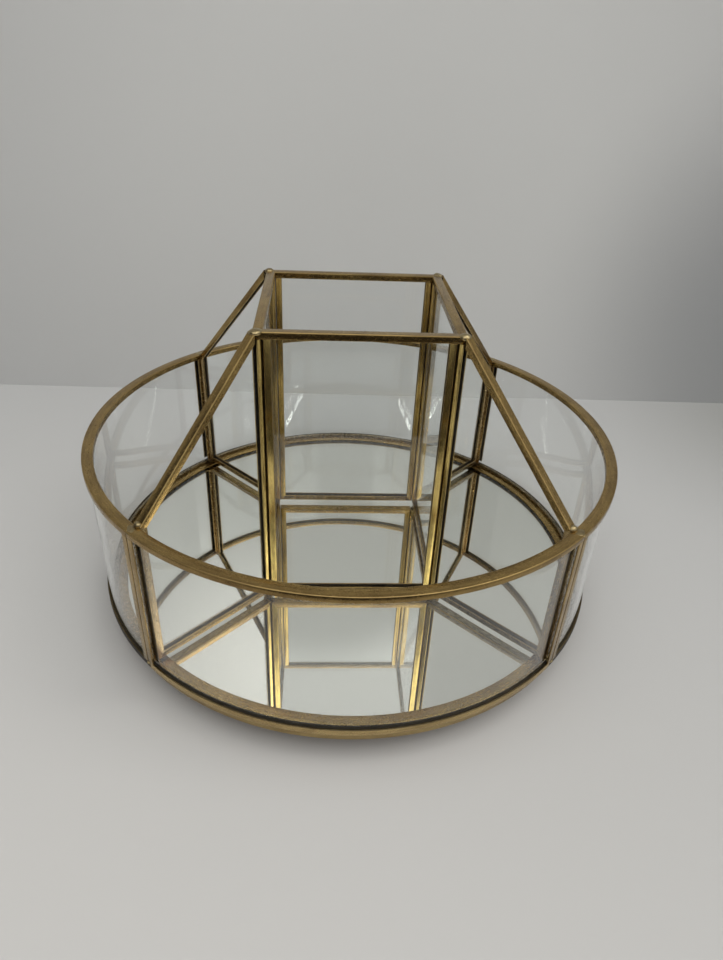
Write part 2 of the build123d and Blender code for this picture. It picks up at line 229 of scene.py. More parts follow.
brassLooks = {
    "agedBrass": {"bump": 0.07, "metallic": 1.0, "patina": {
        "Metal": (0.45, 0.31, 0.115, 1), "Film": (0.14, 0.085, 0.036, 1), "Film amount": 0.32,
        "Side shade": 0.15, "Spot amount": 0.3, "Roughness": 0.21}},
    "postBrass": {"bump": 0.06, "metallic": 1.0, "patina": {
        "Metal": (0.68, 0.485, 0.165, 1), "Film": (0.18, 0.112, 0.04, 1), "Film amount": 0.24,
        "Side shade": 0.0, "Spot amount": 0.4, "Roughness": 0.13}},
    # brighter copy of the post brass for the front tower posts: painted light
    "litFrontPostBrass": {"bump": 0.06, "metallic": 1.0, "patina": {
        "Metal": (0.88, 0.66, 0.235, 1), "Film": (0.22, 0.14, 0.048, 1), "Film amount": 0.20,
        "Side shade": 0.0, "Spot amount": 0.4, "Roughness": 0.13}},
    "rimPostBrass": {"bump": 0.06, "metallic": 1.0, "patina": {
        "Metal": (0.52, 0.38, 0.185, 1), "Film": (0.15, 0.10, 0.05, 1), "Film amount": 0.30,
        "Side shade": 0.0, "Spot amount": 0.35, "Roughness": 0.21}},
    "rubbedBrass": {"bump": 0.06, "metallic": 1.0, "patina": {
        "Metal": (0.45, 0.315, 0.125, 1), "Film": (0.16, 0.10, 0.042, 1), "Film amount": 0.30,
        "Side shade": 0.1, "Spot amount": 0.4, "Roughness": 0.30}},
    # brighter copy of the brass for the front sill: painted light
    "litFrontSillBrass": {"bump": 0.06, "metallic": 1.0, "patina": {
        "Metal": (0.54, 0.40, 0.185, 1), "Film": (0.19, 0.125, 0.058, 1), "Film amount": 0.22,
        "Side shade": 0.0, "Spot amount": 0.4, "Roughness": 0.22}},
    # greyer, darker copy of the brass, for painted shade
    "shadedGreyBrass": {"bump": 0.06, "metallic": 1.0, "patina": {
        "Metal": (0.30, 0.25, 0.165, 1), "Film": (0.11, 0.085, 0.052, 1), "Film amount": 0.30,
        "Side shade": 0.0, "Spot amount": 0.4, "Roughness": 0.24}},
    "oliveBrass": {"bump": 0.10, "metallic": 1.0, "patina": {
        "Metal": (0.15, 0.115, 0.062, 1), "Film": (0.07, 0.05, 0.027, 1), "Film amount": 0.35,
        "Side shade": 0.0, "Spot amount": 0.5, "Roughness": 0.32}},
    "bandBrass": {"bump": 0.12, "metallic": 1.0, "patina": {
        "Metal": (0.43, 0.32, 0.145, 1), "Film": (0.17, 0.11, 0.048, 1), "Film amount": 0.30,
        "Side shade": 0.0, "Spot amount": 0.4, "Roughness": 0.28}},
    # near-black painted shade for the insides of channels, the crevices between strips and the outside of the
    # sills away from the front
    "paintedShadeBrass": {"bump": 0.20, "metallic": 0.3, "patina": {
        "Metal": (0.028, 0.019, 0.011, 1), "Film": (0.012, 0.008, 0.005, 1), "Film amount": 0.5,
        "Side shade": 0.0, "Spot amount": 0.5, "Roughness": 0.50}},
    "solder": {"bump": 0.30, "metallic": 1.0, "patina": {
        "Metal": (0.50, 0.41, 0.225, 1), "Film": (0.19, 0.135, 0.062, 1), "Film amount": 0.35,
        "Side shade": 0.2, "Spot amount": 0.5, "Roughness": 0.26}},
}
brasses = {name: makeBrass(name, look) for name, look in brassLooks.items()}


# clear glass that lets light through to what stands behind it
def makeGlass(name, look):
    material, tree = startMaterial(name)
    coords = addNode(tree, "ShaderNodeTexCoord")
    ripple = addNode(tree, "ShaderNodeTexNoise", Vector=coords.outputs["Object"], Scale=look["rippleScale"],
                     Detail=1.0)
    bump = addNode(tree, "ShaderNodeBump", Strength=look["ripple"], Distance=rippleDepth,
                   Height=ripple.outputs["Fac"])
    shader = addNode(tree, "ShaderNodeBsdfPrincipled", Base_Color=look["color"], Roughness=0.0, IOR=1.5,
                     Normal=bump.outputs["Normal"])
    shader.inputs["Transmission Weight"].default_value = 1.0
    clear = addNode(tree, "ShaderNodeBsdfTransparent", Color=look["shadow"])
    path = addNode(tree, "ShaderNodeLightPath")
    surface = mixShaders(tree, path.outputs["Is Shadow Ray"], shader.outputs["BSDF"], clear.outputs["BSDF"])
    addNode(tree, "ShaderNodeOutputMaterial", Surface=surface)
    return material


glassLooks = {
    "curvedGlass": {"color": (0.985, 0.995, 0.99, 1), "shadow": (0.96, 0.97, 0.965, 1),
                    "ripple": 0.12, "rippleScale": 9.0},
    "flatGlass": {"color": (0.985, 0.995, 0.99, 1), "shadow": (0.96, 0.97, 0.965, 1),
                  "ripple": 0.02, "rippleScale": 6.0},
    "floorGlass": {"color": (0.985, 0.985, 0.965, 1), "shadow": (0.96, 0.96, 0.945, 1),
                   "ripple": 0.0, "rippleScale": 6.0},
    "cutEdge": {"color": (0.26, 0.50, 0.42, 1), "shadow": (0.5, 0.8, 0.7, 1),
                "ripple": 0.3, "rippleScale": 700.0},
}
glasses = {name: makeGlass(name, look) for name, look in glassLooks.items()}


# plain finishes with a little unevenness, whose roughness follows the middle of the noise
plainNoise = {"detail": 5.0, "span": (0.3, 0.7)}


def makePlain(name, look):
    material, tree = startMaterial(name)
    coords = addNode(tree, "ShaderNodeTexCoord")
    noise = addNode(tree, "ShaderNodeTexNoise", Vector=coords.outputs["Object"], Scale=look["scale"],
                    Detail=plainNoise["detail"])
    color = mixColor(tree, noise.outputs["Fac"], look["dark"], look["light"])
    rough = mapRange(tree, noise.outputs["Fac"], *plainNoise["span"], *look["rough"])
    bump = addNode(tree, "ShaderNodeBump", Strength=look["bump"], Distance=bumpDepth,
                   Height=noise.outputs["Fac"])
    shader = addNode(tree, "ShaderNodeBsdfPrincipled", Metallic=look["metal"], Base_Color=color,
                     Roughness=rough, Normal=bump.outputs["Normal"])
    addNode(tree, "ShaderNodeOutputMaterial", Surface=shader.outputs["BSDF"])
    return material


plainLooks = {
    "silverCoat": {"dark": (0.93, 0.94, 0.93, 1), "light": (0.95, 0.96, 0.95, 1), "rough": (0.0, 0.01),
                   "scale": 8.0, "bump": 0.0, "metal": 1.0},
    "fibreBoard": {"dark": (0.20, 0.12, 0.06, 1), "light": (0.34, 0.22, 0.12, 1), "rough": (0.6, 0.8),
                   "scale": 300.0, "bump": 0.4, "metal": 0.0},
    "edgePaintAndPaneShade": {"dark": (0.035, 0.030, 0.024, 1), "light": (0.075, 0.065, 0.05, 1), "rough": (0.5, 0.7),
                  "scale": 200.0, "bump": 0.1, "metal": 0.0},
    "blackPaint": {"dark": (0.018, 0.017, 0.016, 1), "light": (0.035, 0.033, 0.031, 1), "rough": (0.45, 0.6),
                   "scale": 220.0, "bump": 0.25, "metal": 0.0},
    "zincSteel": {"dark": (0.48, 0.48, 0.47, 1), "light": (0.66, 0.66, 0.65, 1), "rough": (0.25, 0.4),
                  "scale": 180.0, "bump": 0.1, "metal": 1.0},
    "ballSteel": {"dark": (0.68, 0.68, 0.69, 1), "light": (0.74, 0.74, 0.75, 1), "rough": (0.06, 0.12),
                  "scale": 300.0, "bump": 0.02, "metal": 1.0},
    "nylon": {"dark": (0.62, 0.60, 0.55, 1), "light": (0.74, 0.72, 0.67, 1), "rough": (0.4, 0.5),
              "scale": 150.0, "bump": 0.1, "metal": 0.0},
    "blackRubber": {"dark": (0.012, 0.012, 0.012, 1), "light": (0.028, 0.028, 0.028, 1), "rough": (0.65, 0.85),
                    "scale": 400.0, "bump": 0.3, "metal": 0.0},
}
plains = {name: makePlain(name, look) for name, look in plainLooks.items()}
print("materials:", len(bpy.data.materials))


def giveMaterial(piece, *materials):
    piece.data.materials.clear()
    for material in materials:
        piece.data.materials.append(material)


def smoothByAngle(mesh, limit):
    for face in mesh.polygons:
        face.use_smooth = True
    mesh.set_sharp_from_angle(angle=math.radians(limit))


def settle(piece, body, slot, *nodes):
    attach(piece, body)
    if nodes:
        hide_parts(*nodes)


def applyModifiers(piece):
    depsgraph = bpy.context.evaluated_depsgraph_get()
    mesh = bpy.data.meshes.new_from_object(piece.evaluated_get(depsgraph), depsgraph=depsgraph)
    piece.modifiers.clear()
    old, piece.data = piece.data, mesh
    bpy.data.meshes.remove(old)


# a brass piece's second to fourth materials; the first is its own finish
rubbedSlot, shadeSlot, dullSlot = 1, 2, 3
# a face counts as inside where its middle and its corners look at their own piece within reach; such faces get
# painted shade, a near-black material
insideLook = {"reach": 5.0 * mm, "lift": 0.02 * mm, "towardsCorner": 0.8}


# painted shade: faces inside the channels and in the crevices between strips get the near-black material
def paintShadeInsides(mesh, look):
    tree = BVHTree.FromPolygons([vertex.co for vertex in mesh.vertices],
                                [tuple(face.vertices) for face in mesh.polygons])
    for face in mesh.polygons:
        corners = [mesh.vertices[index].co for index in face.vertices]
        spots = [face.center] + [face.center.lerp(corner, look["towardsCorner"]) for corner in corners]
        lift = face.normal * look["lift"]
        if all(tree.ray_cast(spot + lift, face.normal, look["reach"])[0] for spot in spots):
            face.material_index = shadeSlot


def markAlong(mesh, placeOf):
    mark = mesh.attributes.new("along", "FLOAT_VECTOR", "POINT")
    for vertex in mesh.vertices:
        mark.data[vertex.index].vector = placeOf(vertex.co)


# rounds a channel: wide on its long folds, little at its lips and ends; rounded strips take the rubbed finish
foldLook = {"fold": 0.45 * mm, "lip": 0.16 * mm, "corner": 0.3 * mm, "end": 0.1 * mm, "segments": 3,
            "lipWidth": 1.4 * mm, "leastAngle": 35, "smooth": 50, "rubbed": "rubbedBrass"}


def roundFolds(piece, look, finish, isLong):
    giveMaterial(piece, brasses[finish], brasses[look["rubbed"]], brasses["paintedShadeBrass"])
    work = bmesh.new()
    work.from_mesh(piece.data)
    weight = work.edges.layers.float.new("bevel_weight_edge")
    for edge in work.edges:
        if len(edge.link_faces) != 2 or edge.calc_face_angle(0) < math.radians(look["leastAngle"]):
            continue
        run = (edge.verts[1].co - edge.verts[0].co).normalized()
        widths = []
        for face in edge.link_faces:
            across = face.normal.cross(run)
            reaches = [(vertex.co - edge.verts[0].co).dot(across) for vertex in face.verts]
            widths.append(max(reaches) - min(reaches))
        if not isLong(edge):
            size = look["end"]
        elif min(widths) < look["lipWidth"]:
            size = look["lip"]
        else:
            size = look["fold"] if edge.is_convex else look["corner"]
        edge[weight] = size / look["fold"]
    work.to_mesh(piece.data)
    work.free()
    bevel = piece.modifiers.new("folds", "BEVEL")
    bevel.width = look["fold"]
    bevel.segments = look["segments"]
    bevel.limit_method = "WEIGHT"
    bevel.use_clamp_overlap = False
    bevel.material = rubbedSlot
    applyModifiers(piece)
    paintShadeInsides(piece.data, insideLook)
    smoothByAngle(piece.data, look["smooth"])


copyLook = {"weld": 0.002 * mm, "flat": 0.5}


def partSolids(work):
    # solids that touch along a line get their own points there
    left = dict.fromkeys(work.faces)
    solids = []
    while left:
        reached = [left.popitem()[0]]
        for face in reached:
            for edge in face.edges:
                for other in edge.link_faces:
                    if len(edge.link_faces) == 2 and other in left:
                        del left[other]
                        reached.append(other)
        solids.append(reached)
    for solid in solids[1:]:
        bmesh.ops.split(work, geom=solid)


def cleanCopy(node, suffix):
    # the same shape with its doubled points merged and its flat faces whole
    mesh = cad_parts[node].data.copy()
    work = bmesh.new()
    work.from_mesh(mesh)
    bmesh.ops.remove_doubles(work, verts=work.verts, dist=copyLook["weld"])
    bmesh.ops.dissolve_limit(work, angle_limit=math.radians(copyLook["flat"]), verts=work.verts,
                             edges=work.edges)
    partSolids(work)
    work.to_mesh(mesh)
    work.free()
    piece = bpy.data.objects.new(node + suffix, mesh)
    bpy.context.scene.collection.objects.link(piece)
    return piece


# straight channels are clean copies of their own nodes with rounded folds
stripFinishes = {f"tower_{kind}_strip_{name}": "agedBrass" for kind in ("top", "foot") for name in sideNames}
for name in cornerNames:
    stripFinishes[f"partition_bar_{name}"] = "agedBrass"
    # the right partition feet take the greyer, darker copy of the brass: painted shade
    stripFinishes[f"partition_foot_{name}"] = "shadedGreyBrass" if name.endswith("right") else "agedBrass"
    # the front tower posts take the brighter copy of the post brass: painted light
    stripFinishes[f"tower_post_{name}"] = "litFrontPostBrass" if name.startswith("front") else "postBrass"
    stripFinishes[f"rim_post_{name}"] = "rimPostBrass"
stripLook = {"longEdge": 10 * mm, "sideways": (0.31, 0.57, 0.76)}


def stripPlace(mesh):
    # a place along the strip and two across it; no strip runs sideways
    points = [vertex.co.copy() for vertex in mesh.vertices]
    first = max(points, key=lambda point: (point - points[0]).length)
    last = max(points, key=lambda point: (point - first).length)
    run = (last - first).normalized()
    across = run.cross(Vector(stripLook["sideways"])).normalized()
    over = run.cross(across)
    return lambda point: (run.dot(point), across.dot(point), over.dot(point))


for node, finish in stripFinishes.items():
    piece = cleanCopy(node, "_folded")
    roundFolds(piece, foldLook, finish, lambda edge: edge.calc_length() > stripLook["longEdge"])
    markAlong(piece.data, stripPlace(piece.data))
    settle(piece, "drum", "antique_brass", node)
print("straight channels:", len(stripFinishes))


# a profile swept round the axis: rims, sills, curved panes and the band round the floor
def makeSweepTree():
    tree, given, made = startGroup(
        "roundSweep", "GeometryNodeTree",
        [("Profile", "NodeSocketObject", None), ("Path radius", "NodeSocketFloat", 0.13),
         ("Start angle", "NodeSocketFloat", 0.0), ("Sweep angle", "NodeSocketFloat", 1.5),
         ("Points", "NodeSocketInt", 97), ("Closed", "NodeSocketBool", False),
         ("Material", "NodeSocketMaterial", None)],
        [("Geometry", "NodeSocketGeometry")])
    arc = addNode(tree, "GeometryNodeCurveArc", {"mode": "RADIUS"}, Resolution=given.outputs["Points"],
                  Radius=given.outputs["Path radius"], Start_Angle=given.outputs["Start angle"],
                  Sweep_Angle=given.outputs["Sweep angle"])
    ring = addNode(tree, "GeometryNodeSetSplineCyclic", Geometry=arc.outputs["Curve"],
                   Cyclic=given.outputs["Closed"])
    upright = addNode(tree, "GeometryNodeSetCurveNormal", {"mode": "Z_UP"}, Curve=ring.outputs[0])
    profile = addNode(tree, "GeometryNodeObjectInfo", {"transform_space": "ORIGINAL"},
                      Object=given.outputs["Profile"])
    swept = addNode(tree, "GeometryNodeCurveToMesh", Curve=upright.outputs[0],
                    Profile_Curve=profile.outputs["Geometry"], Fill_Caps=True)
    real = addNode(tree, "GeometryNodeRealizeInstances", Geometry=swept.outputs["Mesh"])
    finish = addNode(tree, "GeometryNodeSetMaterial", Geometry=real.outputs[0],
                     Material=given.outputs["Material"])
    tree.links.new(finish.outputs[0], made.inputs["Geometry"])
    return tree


sweepTree = makeSweepTree()


def runTree(name, tree, inputs):
    holder = bpy.data.objects.new(name, bpy.data.meshes.new(name))
    bpy.context.scene.collection.objects.link(holder)
    modifier = holder.modifiers.new(name, "NODES")
    modifier.node_group = tree
    for socket in tree.interface.items_tree:
        if socket.item_type == "SOCKET" and socket.in_out == "INPUT" and socket.name in inputs:
            modifier[socket.identifier] = inputs[socket.name]
    bpy.context.view_layer.update()
    applyModifiers(holder)
    return holder


sheetLook = {"brass": 0.6 * mm, "band": 0.8 * mm, "points": 97, "bandPoints": 384, "weld": 0.001 * mm}


def closeAndFaceOut(mesh):
    work = bmesh.new()
    work.from_mesh(mesh)
    bmesh.ops.remove_doubles(work, verts=work.verts, dist=sheetLook["weld"])
    bmesh.ops.recalc_face_normals(work, faces=work.faces)
    work.to_mesh(mesh)
    work.free()


def sweepRound(name, outline, pathRadius, startAngle, sweepAngle, points, material, closed=False):
    curve = bpy.data.curves.new(name + "_outline", "CURVE")
    curve.dimensions = "2D"
    spline = curve.splines.new("POLY")
    spline.points.add(len(outline) - 1)
    for point, (radius, height) in zip(spline.points, outline):
        point.co = (radius - pathRadius, -height, 0, 1)
    spline.use_cyclic_u = True
    profile = bpy.data.objects.new(name + "_outline", curve)
    bpy.context.scene.collection.objects.link(profile)
    piece = runTree(name, sweepTree, {
        "Profile": profile, "Path radius": pathRadius, "Start angle": startAngle,
        "Sweep angle": sweepAngle, "Points": points, "Closed": closed, "Material": material})
    bpy.data.objects.remove(profile)
    closeAndFaceOut(piece.data)
    return piece


def turnFrom(facing, point):
    # radians round the axis from a given way to a point, within half a turn
    return (math.atan2(point.y, point.x) - facing + math.pi) % (2 * math.pi) - math.pi


def nodeRing(node):
    # inner and outer radius, start and sweep angle, and heights of a node that bends round the axis
    points = [vertex.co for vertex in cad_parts[node].data.vertices]
    radii = [math.hypot(p.x, p.y) for p in points]
    middle = sum((Vector((p.x, p.y)) for p in points), Vector((0, 0)))
    facing = math.atan2(middle.y, middle.x)
    around = [turnFrom(facing, p) for p in points]
    heights = [p.z for p in points]
    return {"inner": min(radii), "outer": max(radii), "start": facing + min(around),
            "sweep": max(around) - min(around), "low": min(heights), "high": max(heights)}


# the outer leg of a sill ends lower and further in than the channel it stands for
sillLook = {"lip": 1.5 * mm, "outerLip": 1.0 * mm, "drop": 1.0 * mm, "inset": 0.6 * mm, "skin": 0.3 * mm,
            "lipTilt": 0.3}


def rimOutline(ring, sheet):
    inner, outer, low, high = (ring[key] for key in ("inner", "outer", "low", "high"))
    return [(inner, high), (outer, high), (outer, low), (outer - sheet, low), (outer - sheet, high - sheet),
            (inner + sheet, high - sheet), (inner + sheet, low), (inner, low)]


def sillOutline(ring, sheet, look):
    # both lips are turned over towards the glass
    inner, low, high = (ring[key] for key in ("inner", "low", "high"))
    outer, outerHigh = ring["outer"] - look["inset"], high - look["drop"]
    return [(inner, low), (outer, low), (outer, outerHigh), (outer - look["outerLip"], outerHigh),
            (outer - look["outerLip"], outerHigh - sheet), (outer - sheet, outerHigh - sheet),
            (outer - sheet, low + sheet), (inner + sheet, low + sheet), (inner + sheet, high - sheet),
            (inner + look["lip"], high - sheet), (inner + look["lip"], high), (inner, high)]


def finishOuterLeg(mesh, ring, look, shadeOutside):
    # dull on its lip and, away from the front, painted near-black as shade on the outside
    mesh.materials.append(brasses["oliveBrass"])
    legOuter = ring["outer"] - look["inset"]
    for face in mesh.polygons:
        radius = math.hypot(face.center.x, face.center.y)
        if radius > legOuter - look["outerLip"] and face.normal.z > look["lipTilt"]:
            face.material_index = dullSlot
        elif radius > legOuter - look["skin"] and shadeOutside:
            face.material_index = shadeSlot


def runsRound(edge):
    # true for an edge that goes round the axis, false for one across an end
    middle = (edge.verts[0].co + edge.verts[1].co) / 2
    run = (edge.verts[1].co - edge.verts[0].co).normalized()
    return abs(run.dot(Vector((-middle.y, middle.x, 0)).normalized())) > aligned


def roundPlace(facing, radius):
    return lambda point: (radius * turnFrom(facing, point), math.hypot(point.x, point.y), point.z)


rimFoldLook = {**foldLook, "fold": 0.4 * mm}
sillFoldLook = {**foldLook, "fold": 0.35 * mm}
for name in sideNames:
    # the front sill takes a brighter copy of the brass, painted light, and the other sills the greyer, darker
    # copy, painted shade
    sillPaintedTone = "litFrontSillBrass" if name == "front" else "shadedGreyBrass"
    for kind, finish, folds in (("rim", "agedBrass", rimFoldLook),
                                ("sill", sillPaintedTone, {**sillFoldLook, "rubbed": sillPaintedTone})):
        node = f"wall_{kind}_{name}"
        ring = nodeRing(node)
        outline = (rimOutline(ring, sheetLook["brass"]) if kind == "rim" else
                   sillOutline(ring, sheetLook["brass"], sillLook))
        piece = sweepRound(node + "_folded", outline, ring["outer"], ring["start"], ring["sweep"],
                           sheetLook["points"], brasses[finish])
        roundFolds(piece, folds, finish, runsRound)
        if kind == "sill":
            finishOuterLeg(piece.data, ring, sillLook, shadeOutside=name != "front")
        markAlong(piece.data, roundPlace(ring["start"] + ring["sweep"] / 2, ring["outer"]))
        settle(piece, "drum", "antique_brass", node)

# curved panes have a slanted outline, as their foot has a smaller radius; the foot down in the sill is painted
# near-black as shade
paneLook = {"thick": 2.0 * mm, "points": 129, "shadeDepth": 0.5 * mm, "smooth": 30}
faceSlot, edgeSlot, paneShadeSlot = 0, 1, 2
for name in sideNames:
    node = f"wall_glass_{name}"
    ring = nodeRing(node)
    low, high = ring["low"], ring["high"]
    inner, outer, thick = ring["inner"], ring["outer"], paneLook["thick"]
    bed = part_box(f"wall_sill_{name}")[1].z - paneLook["shadeDepth"]
    lean = (outer - thick - inner) * (bed - low) / (high - low)
    outline = [(inner, low), (inner + thick, low), (inner + thick + lean, bed), (outer, high),
               (outer - thick, high), (inner + lean, bed)]
    piece = sweepRound(node + "_pane", outline, outer, ring["start"], ring["sweep"], paneLook["points"],
                       glasses["curvedGlass"])
    giveMaterial(piece, glasses["curvedGlass"], glasses["cutEdge"], plains["edgePaintAndPaneShade"])
    for face in piece.data.polygons:
        outward = Vector((face.center.x, face.center.y, 0)).normalized()
        onFace = abs(face.normal.dot(outward)) > aligned
        # the foot of the pane, down in the sill, is painted near-black as shade
        face.material_index = paneShadeSlot if face.center.z < bed else faceSlot if onFace else edgeSlot
    smoothByAngle(piece.data, paneLook["smooth"])
    settle(piece, "drum", "clear_glass", node)


def bandOutline(ring):
    inner, outer, low, high = (ring[key] for key in ("inner", "outer", "low", "high"))
    sheet = sheetLook["band"]
    return [(inner, low), (outer, low), (outer, high), (inner, high), (inner, high - sheet),
            (outer - sheet, high - sheet), (outer - sheet, low + sheet), (inner, low + sheet)]


def flatOutline(ring):
    inner, outer, low, high = (ring[key] for key in ("inner", "outer", "low", "high"))
    return [(inner, low), (outer, low), (outer, high), (inner, high)]


# brass band round the board, and the flat ring that covers the edge of the mirror
bandFoldLook = {**foldLook, "fold": 0.6 * mm, "rubbed": "bandBrass"}
bandPoints = sheetLook["bandPoints"]
wholeTurn = 2 * math.pi * (bandPoints - 1) / bandPoints
patternStart = -3 * math.pi / 4
for node, outlineOf, folds, finish in (("edge_ring", bandOutline, bandFoldLook, "bandBrass"),
                                       ("mirror_ring", flatOutline, foldLook, "agedBrass")):
    ring = nodeRing(node)
    piece = sweepRound(node + "_folded", outlineOf(ring), ring["outer"], 0, wholeTurn, bandPoints,
                       brasses[finish], closed=True)
    roundFolds(piece, folds, finish, runsRound)
    markAlong(piece.data, roundPlace(patternStart, ring["outer"]))
    settle(piece, "drum", "antique_brass", node)
print("curved pieces made")


# beads of solder where strips meet, each a ball with its own size, turn and lumps
beadShape = {"least": (0.75, 0.75, 0.8), "most": (1.2, 1.2, 1.15), "turnLeast": (-0.12, -0.12, 0.0),
             "turnMost": (0.12, 0.12, 6.283), "subdivisions": 4, "lumpScale": 330.0, "lumpDetail": 2.0,
             "lumpMiddle": 0.5}


def makeBeadTree(shape):
    tree, given, made = startGroup(
        "solderBeads", "GeometryNodeTree",
        [("Places", "NodeSocketObject", None), ("Radius", "NodeSocketFloat", 0.002),
         ("Flatness", "NodeSocketFloat", 0.5), ("Lumps", "NodeSocketFloat", 0.001),
         ("Seed", "NodeSocketInt", 4), ("Material", "NodeSocketMaterial", None)],
        [("Geometry", "NodeSocketGeometry")])
    places = addNode(tree, "GeometryNodeObjectInfo", {"transform_space": "ORIGINAL"},
                     Object=given.outputs["Places"])
    points = addNode(tree, "GeometryNodeMeshToPoints", Mesh=places.outputs["Geometry"])
    ball = addNode(tree, "GeometryNodeMeshIcoSphere", Radius=given.outputs["Radius"],
                   Subdivisions=shape["subdivisions"])

    def randomVector(least, most):
        node = addNode(tree, "FunctionNodeRandomValue", {"data_type": "FLOAT_VECTOR"},
                       Seed=given.outputs["Seed"])
        fill(tree, node.inputs, (least, most))
        return node.outputs[0]

    flat = addNode(tree, "ShaderNodeCombineXYZ", X=1.0, Y=1.0, Z=given.outputs["Flatness"])
    scale = vectorCalc(tree, "MULTIPLY", randomVector(shape["least"], shape["most"]), flat.outputs[0])
    beads = addNode(tree, "GeometryNodeInstanceOnPoints", Points=points.outputs[0],
                    Instance=ball.outputs["Mesh"], Scale=scale,
                    Rotation=randomVector(shape["turnLeast"], shape["turnMost"]))
    real = addNode(tree, "GeometryNodeRealizeInstances", Geometry=beads.outputs[0])
    here = addNode(tree, "GeometryNodeInputPosition")
    noise = addNode(tree, "ShaderNodeTexNoise", Vector=here.outputs[0], Scale=shape["lumpScale"],
                    Detail=shape["lumpDetail"])
    height = calc(tree, "SUBTRACT", noise.outputs["Fac"], shape["lumpMiddle"])
    lift = calc(tree, "MULTIPLY", height, given.outputs["Lumps"])
    normal = addNode(tree, "GeometryNodeInputNormal")
    offset = addNode(tree, "ShaderNodeVectorMath", {"operation": "SCALE"}, Scale=lift)
    tree.links.new(normal.outputs[0], offset.inputs[0])
    moved = addNode(tree, "GeometryNodeSetPosition", Geometry=real.outputs[0], Offset=offset.outputs[0])
    smooth = addNode(tree, "GeometryNodeSetShadeSmooth", Geometry=moved.outputs[0])
    finish = addNode(tree, "GeometryNodeSetMaterial", Geometry=smooth.outputs[0],
                     Material=given.outputs["Material"])
    tree.links.new(finish.outputs[0], made.inputs["Geometry"])
    return tree


# a place is a radius along the diagonal and a height, and has a bead at each of the four corners
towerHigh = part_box("tower_top_strip_right")[1]
rimRing = nodeRing("wall_rim_right")
sillRing = nodeRing("wall_sill_right")
beadLooks = {
    "tower_corner": {"place": (towerHigh.x * math.sqrt(2) - 2.0 * mm, towerHigh.z - 0.5 * mm),
                     "Radius": 3.0 * mm, "Flatness": 0.45, "Lumps": 0.9 * mm, "Seed": 3},
    "bar_end": {"place": (rimRing["inner"] - 0.6 * mm, rimRing["high"] + 0.2 * mm),
                "Radius": 2.3 * mm, "Flatness": 0.62, "Lumps": 1.0 * mm, "Seed": 5},
    "rim_seam": {"place": (rimRing["inner"] + 3.2 * mm, rimRing["high"] - 0.35 * mm),
                 "Radius": 2.6 * mm, "Flatness": 0.22, "Lumps": 0.7 * mm, "Seed": 8},
    "sill_seam": {"place": (sillRing["outer"] - 1.3 * mm, sillRing["high"] - 0.7 * mm),
                  "Radius": 1.5 * mm, "Flatness": 0.7, "Lumps": 0.8 * mm, "Seed": 11},
    "foot_end": {"place": (sillRing["inner"] - 1.0 * mm, sillRing["high"] + 2.6 * mm),
                 "Radius": 1.6 * mm, "Flatness": 0.5, "Lumps": 0.8 * mm, "Seed": 13},
}
diagonals = [math.pi / 4 + quarter * math.pi / 2 for quarter in range(4)]
beadTree = makeBeadTree(beadShape)
for name, look in beadLooks.items():
    spots = bpy.data.meshes.new(name)
    radius, height = look["place"]
    spots.from_pydata([(radius * math.cos(angle), radius * math.sin(angle), height) for angle in diagonals],
                      [], [])
    holder = bpy.data.objects.new(name + "_places", spots)
    bpy.context.scene.collection.objects.link(holder)
    beads = runTree("solder_" + name, beadTree, {
        "Places": holder, "Material": brasses["solder"],
        **{label: value for label, value in look.items() if label != "place"}})
    bpy.data.objects.remove(holder)
    giveMaterial(beads, brasses["solder"])
    markAlong(beads.data, lambda point: tuple(point))
    settle(beads, "drum", "antique_brass")
print("solder beads:", len(beadLooks))

# the silver lies a hair under the glass, so that the two faces never share a place
silverLook = {"points": 192, "gap": 0.01 * mm}
silverLow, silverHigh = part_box("mirror_silver")
silverMesh = bpy.data.meshes.new("mirror_silver_coat")
work = bmesh.new()
turns = [2 * math.pi * step / silverLook["points"] for step in range(silverLook["points"])]
for height in (silverLow.z, silverHigh.z - silverLook["gap"]):
    work.faces.new([work.verts.new((silverHigh.x * math.cos(turn), silverHigh.x * math.sin(turn), height))
                    for turn in turns])
bmesh.ops.bridge_loops(work, edges=list(work.edges))
bmesh.ops.recalc_face_normals(work, faces=work.faces)
work.to_mesh(silverMesh)
work.free()
silver = bpy.data.objects.new("mirror_silver_coat", silverMesh)
bpy.context.scene.collection.objects.link(silver)
giveMaterial(silver, plains["silverCoat"])
settle(silver, "drum", "silvering", "mirror_silver")

# the balls are a clean copy too
ballLook = {"smooth": 50}
balls = cleanCopy("bearing_balls", "_merged")
giveMaterial(balls, plains["ballSteel"])
smoothByAngle(balls.data, ballLook["smooth"])
settle(balls, "ball_cage_body", "ball_steel", "bearing_balls")

# nodes that keep their own mesh
flatPanes = [f"tower_glass_{name}" for name in sideNames] + [f"partition_glass_{name}" for name in cornerNames]
zincNodes = ["upper_race", "lower_race", "upper_race_screws", "lower_race_screws", "centre_bolt",
             "centre_washer", "centre_nut"]
keptFinishes = {
    "mirror_glass": glasses["floorGlass"], "backing_board": plains["fibreBoard"],
    "base_disc": plains["blackPaint"], "rubber_feet": plains["blackRubber"],
    "ball_cage": plains["nylon"], "centre_bush": plains["nylon"],
    **{node: plains["zincSteel"] for node in zincNodes},
    **{node: glasses["flatGlass"] for node in flatPanes},
}
for node, finish in keptFinishes.items():
    giveMaterial(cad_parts[node], finish)

